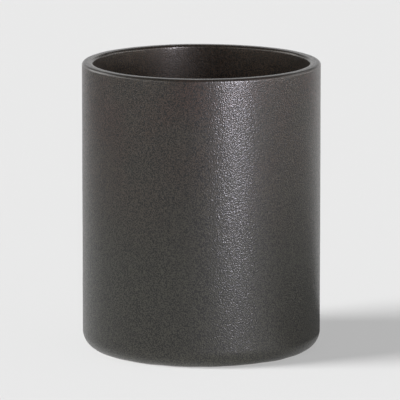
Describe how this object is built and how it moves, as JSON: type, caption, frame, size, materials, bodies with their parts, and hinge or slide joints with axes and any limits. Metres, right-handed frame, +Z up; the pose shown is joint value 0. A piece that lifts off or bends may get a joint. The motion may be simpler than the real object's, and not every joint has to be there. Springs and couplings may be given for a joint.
{
  "type": "candle jar",
  "caption": "Empty open-topped cylindrical candle vessel in dark satin-glazed stoneware, with a thick flat lip, a rounded lower edge and a bare foot ring.",
  "frame": {"origin": "centre of the foot, on the plane that the vessel stands on", "axes": "+Z up along the vessel's axis, out of its mouth; X and Y are interchangeable on a turned form"},
  "size_m": [0.084, 0.084, 0.102],
  "materials": {
    "bare_clay": "matte",
    "outer_glaze": "satin",
    "inner_glaze": "satin",
    "underside_glaze": "satin"
  },
  "bodies": {
    "root": {"stoneware_body": "bare_clay", "outer_glaze": "outer_glaze", "inner_glaze": "inner_glaze", "underside_glaze": "underside_glaze"}
  },
  "joints": []
}
